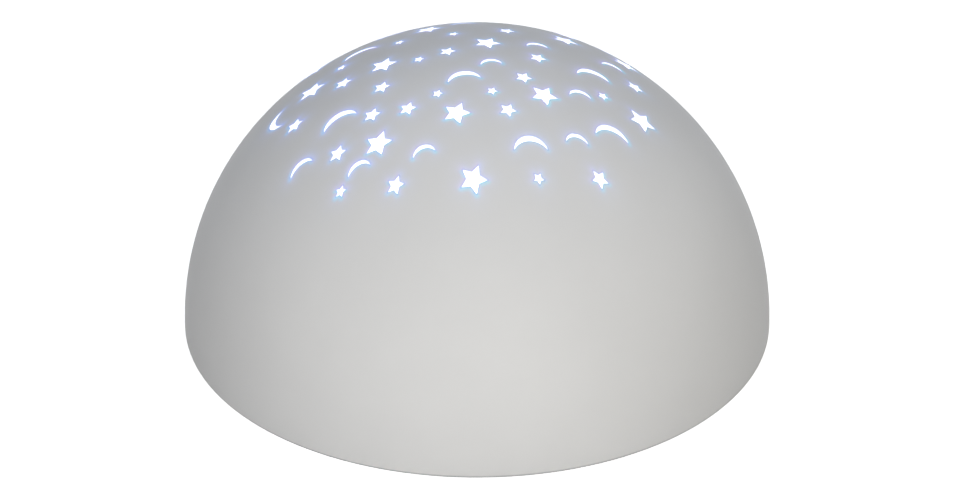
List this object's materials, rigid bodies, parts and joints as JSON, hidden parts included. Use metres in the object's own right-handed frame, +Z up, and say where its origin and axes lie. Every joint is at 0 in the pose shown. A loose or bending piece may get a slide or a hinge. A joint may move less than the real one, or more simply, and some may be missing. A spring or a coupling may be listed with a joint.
{
  "type": "star night light projector",
  "caption": "Half-round table night light: a white dome with star and crescent windows over a flat tray with cells, lamps, a battery door and controls underneath.",
  "frame": {"origin": "middle of the light on the surface that its feet stand on", "axes": "+Z up through the crown, -Y towards the front, +X to the right seen from the front"},
  "size_m": [0.12, 0.12, 0.0612],
  "materials": {
    "shell_white": "satin moulded plastic",
    "window_liner": "clear, lit from behind",
    "base_white": "fine-textured moulded plastic",
    "foot_rubber": "matt",
    "screw_steel": "zinc plated",
    "cell_jacket": "printed jacket over metal",
    "contact_metal": "nickel plated",
    "board_green": "solder mask over glass fibre",
    "lamp_white": "clear lens",
    "lamp_blue": "tinted lens",
    "lamp_green": "tinted lens",
    "lamp_red": "tinted lens",
    "chip_black": "moulded epoxy",
    "parts_mixed": "small board parts",
    "switch_black": "moulded plastic",
    "control_grey": "ribbed moulded plastic",
    "wire_red": "soft sleeve",
    "wire_black": "soft sleeve",
    "wire_white": "soft sleeve"
  },
  "bodies": {
    "housing": {"star_dome": "shell_white", "clear_liner": "window_liner", "base_tray": "base_white", "dome_screws": "screw_steel", "control_board_screws": "screw_steel", "led_board_screws": "screw_steel", "rubber_feet": "foot_rubber", "battery_1": "cell_jacket", "battery_2": "cell_jacket", "battery_3": "cell_jacket", "battery_springs": "contact_metal", "contact_plates": "contact_metal", "led_holder": "base_white", "led_board": "board_green", "led_white": "lamp_white", "led_blue": "lamp_blue", "led_green": "lamp_green", "led_red": "lamp_red", "control_board": "board_green", "control_chip": "chip_black", "board_parts": "parts_mixed", "power_switch_body": "switch_black", "tact_switch": "switch_black", "battery_wire_red": "wire_red", "battery_wire_black": "wire_black", "led_wires": "wire_white"},
    "battery_door": {"battery_door": "base_white"},
    "battery_door_screw": {"battery_door_screw": "screw_steel"},
    "power_switch_knob": {"power_switch_knob": "control_grey"},
    "colour_button": {"colour_button": "control_grey", "tact_plunger": "switch_black"}
  },
  "joints": [
    {"name": "battery_door_hinge", "type": "hinge", "parent": "housing", "child": "battery_door", "pos_m": [0.0306, 0.006, 0.002], "axis": [0, -1, 0], "range_deg": [0, 60]},
    {"name": "battery_door_screw_turn", "type": "hinge", "parent": "battery_door", "child": "battery_door_screw", "pos_m": [-0.0343, 0.006, 0.0021], "axis": [0, 0, 1], "continuous": true},
    {"name": "power_switch_slide", "type": "slide", "parent": "housing", "child": "power_switch_knob", "axis": [1, 0, 0], "range_m": [-0.0025, 0.0025]},
    {"name": "colour_button_press", "type": "slide", "parent": "housing", "child": "colour_button", "axis": [0, 0, 1], "range_m": [0, 0.0005], "stiffness_N_per_m": 800}
  ]
}
